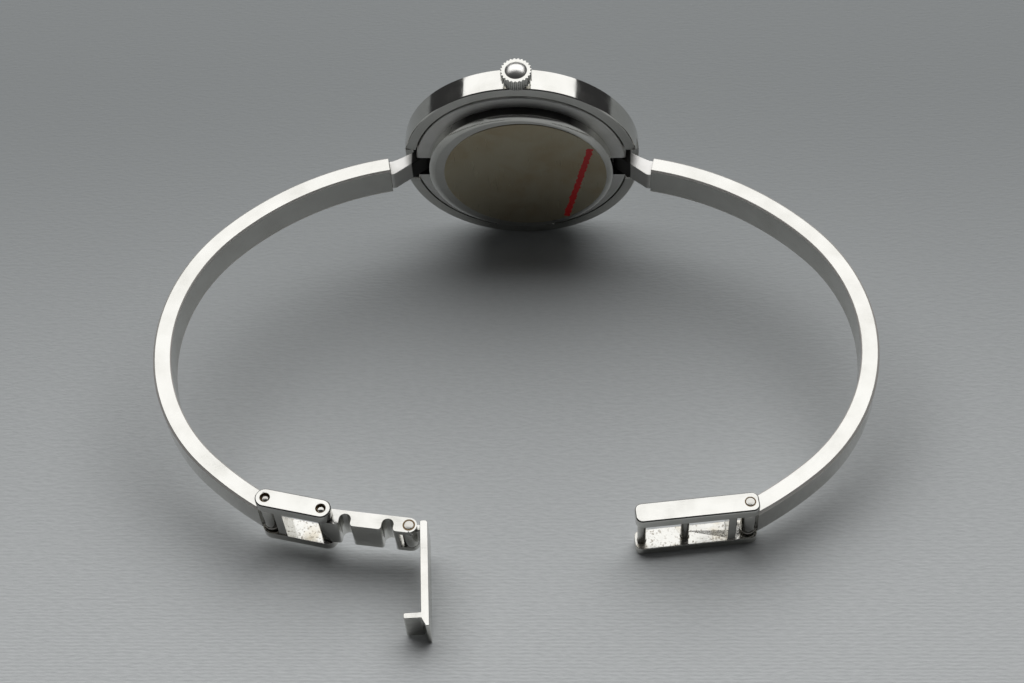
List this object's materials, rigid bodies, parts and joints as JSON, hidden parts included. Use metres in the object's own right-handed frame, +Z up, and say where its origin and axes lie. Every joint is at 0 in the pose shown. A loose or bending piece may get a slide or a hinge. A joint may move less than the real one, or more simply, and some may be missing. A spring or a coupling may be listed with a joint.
{
  "type": "bangle watch",
  "caption": "Open quartz bangle watch: round case with crown, two hinged rigid bands and a clasp with a notched blade, a fold-over lever and a pinned receiver.",
  "frame": {"origin": "centre of the bounding box at table level, with the watch lying open on the rim of its case, the tip of the clasp lever and the receiver", "axes": "+Z up from the table; +Y from the open clasp towards the case; +X towards the band that carries the receiver"},
  "size_m": [0.0754, 0.0614, 0.028],
  "materials": {
    "polished_steel": "polished stainless steel",
    "case_steel": "satin stainless steel",
    "band_steel": "polished steel with fine wear marks",
    "clasp_steel": "polished outside, rough inside",
    "pin_steel": "dull steel",
    "brushed_steel": "brushed",
    "cell_steel": "satin",
    "stator_iron": "matt soft iron",
    "protective_film": "satin film with a red printed stripe",
    "crystal": "clear",
    "gasket": "matt",
    "holder_plastic": "matt",
    "plate_plastic": "matt",
    "gear_plastic": "matt",
    "jewel": "polished synthetic ruby",
    "gilt_brass": "satin",
    "copper": "enamelled copper wire",
    "board": "satin",
    "chip": "matt",
    "magnet": "satin",
    "dial": "satin",
    "hand": "polished"
  },
  "bodies": {
    "case": {"case_middle": "case_steel", "bezel_ring": "polished_steel", "case_back": "polished_steel", "back_film": "protective_film", "back_gasket": "gasket", "crystal": "crystal", "crystal_gasket": "gasket", "movement_holder": "holder_plastic", "main_plate": "plate_plastic", "train_bridge": "brushed_steel", "train_jewels": "jewel", "bridge_screws": "polished_steel", "board_screws": "polished_steel", "battery": "cell_steel", "battery_clamp": "gilt_brass", "circuit_board": "board", "timing_chip": "chip", "quartz_can": "cell_steel", "coil_core": "stator_iron", "coil": "copper", "stator": "stator_iron", "dial": "dial", "hour_markers": "polished_steel", "crown_tube": "pin_steel", "left_arm_pin": "pin_steel", "right_arm_pin": "pin_steel"},
    "left_arm": {"left_neck": "polished_steel", "left_band": "band_steel"},
    "link": {"link_frame": "clasp_steel", "left_band_pin": "pin_steel", "link_blade_pin": "pin_steel"},
    "blade": {"hook_blade": "clasp_steel", "lever_pin": "pin_steel"},
    "lever": {"clasp_lever": "clasp_steel"},
    "right_arm": {"right_neck": "polished_steel", "right_band": "band_steel"},
    "receiver": {"receiver_frame": "clasp_steel", "right_band_pin": "pin_steel", "end_cross_pin": "pin_steel", "inner_cross_pin": "pin_steel"},
    "sliding_pinion": {"sliding_pinion": "pin_steel"},
    "crown": {"stem": "pin_steel", "crown": "polished_steel", "crown_cap": "polished_steel", "crown_gasket": "gasket"},
    "setting_lever": {"setting_lever": "brushed_steel"},
    "minute_hand": {"centre_wheel": "gilt_brass", "cannon_pinion": "pin_steel", "minute_hand": "hand"},
    "third_wheel": {"third_wheel": "gilt_brass"},
    "intermediate_wheel": {"intermediate_wheel": "gear_plastic"},
    "rotor": {"rotor": "magnet"},
    "minute_wheel": {"minute_wheel": "gear_plastic"},
    "hour_hand": {"hour_wheel": "gilt_brass", "hour_hand": "hand"}
  },
  "joints": [
    {"name": "left_arm_hinge", "type": "hinge", "parent": "case", "child": "left_arm", "pos_m": [-0.01095, 0.02602, 0.01319], "axis": [0.0272, -0.1937, 0.9807], "range_deg": [-5, 18.5]},
    {"name": "link_hinge", "type": "hinge", "parent": "left_arm", "child": "link", "pos_m": [-0.02381, -0.01777, 0.00489], "axis": [0.0272, -0.1937, 0.9807], "range_deg": [-25, 25]},
    {"name": "blade_hinge", "type": "hinge", "parent": "link", "child": "blade", "pos_m": [-0.01818, -0.01887, 0.00452], "axis": [-0.0272, 0.1937, -0.9807], "range_deg": [-40, 40]},
    {"name": "lever_hinge", "type": "hinge", "parent": "blade", "child": "lever", "pos_m": [-0.00954, -0.01982, 0.00409], "axis": [0.0272, -0.1937, 0.9807], "range_deg": [-101.1, 45]},
    {"name": "right_arm_hinge", "type": "hinge", "parent": "case", "child": "right_arm", "pos_m": [0.01095, 0.02614, 0.0126], "axis": [0.0272, -0.1937, 0.9807], "range_deg": [-18.5, 5]},
    {"name": "receiver_hinge", "type": "hinge", "parent": "right_arm", "child": "receiver", "pos_m": [0.02381, -0.01752, 0.00362], "axis": [0.0272, -0.1937, 0.9807], "range_deg": [-25, 25]},
    {"name": "crown_turn", "type": "hinge", "parent": "case", "child": "sliding_pinion", "pos_m": [0.00014, 0.02526, 0.01783], "axis": [0.0272, -0.1937, 0.9807], "continuous": true},
    {"name": "crown_pull", "type": "slide", "parent": "sliding_pinion", "child": "crown", "axis": [0.0272, -0.1937, 0.9807], "range_m": [0, 0.0008]},
    {"name": "setting_lever_turn", "type": "hinge", "parent": "case", "child": "setting_lever", "pos_m": [0.00209, 0.02428, 0.01967], "axis": [0, 0.981, 0.1938], "range_deg": [-1, 31.88]},
    {"name": "minute_hand_turn", "type": "hinge", "parent": "case", "child": "minute_hand", "pos_m": [0, 0.02613, 0.0129], "axis": [0, -0.981, -0.1938], "continuous": true},
    {"name": "third_wheel_turn", "type": "hinge", "parent": "case", "child": "third_wheel", "pos_m": [0.00213, 0.02521, 0.01344], "axis": [0, -0.981, -0.1938], "continuous": true},
    {"name": "intermediate_wheel_turn", "type": "hinge", "parent": "case", "child": "intermediate_wheel", "pos_m": [0.00402, 0.02535, 0.01271], "axis": [0, -0.981, -0.1938], "continuous": true},
    {"name": "rotor_turn", "type": "hinge", "parent": "case", "child": "rotor", "pos_m": [0.00505, 0.02503, 0.01435], "axis": [0, -0.981, -0.1938], "continuous": true},
    {"name": "minute_wheel_turn", "type": "hinge", "parent": "case", "child": "minute_wheel", "pos_m": [0.00005, 0.02613, 0.01494], "axis": [0, -0.981, -0.1938], "continuous": true},
    {"name": "hour_hand_turn", "type": "hinge", "parent": "case", "child": "hour_hand", "pos_m": [0, 0.02672, 0.01302], "axis": [0, -0.981, -0.1938], "continuous": true}
  ],
  "couplings": [
    {"joint": "setting_lever_turn", "follows": "crown_pull", "rad_per_m": 673.63},
    {"joint": "third_wheel_turn", "follows": "minute_hand_turn", "ratio": -3},
    {"joint": "intermediate_wheel_turn", "follows": "minute_hand_turn", "ratio": 15},
    {"joint": "rotor_turn", "follows": "minute_hand_turn", "ratio": -90},
    {"joint": "minute_wheel_turn", "follows": "minute_hand_turn", "ratio": -0.33333},
    {"joint": "hour_hand_turn", "follows": "minute_hand_turn", "ratio": 0.083333}
  ]
}
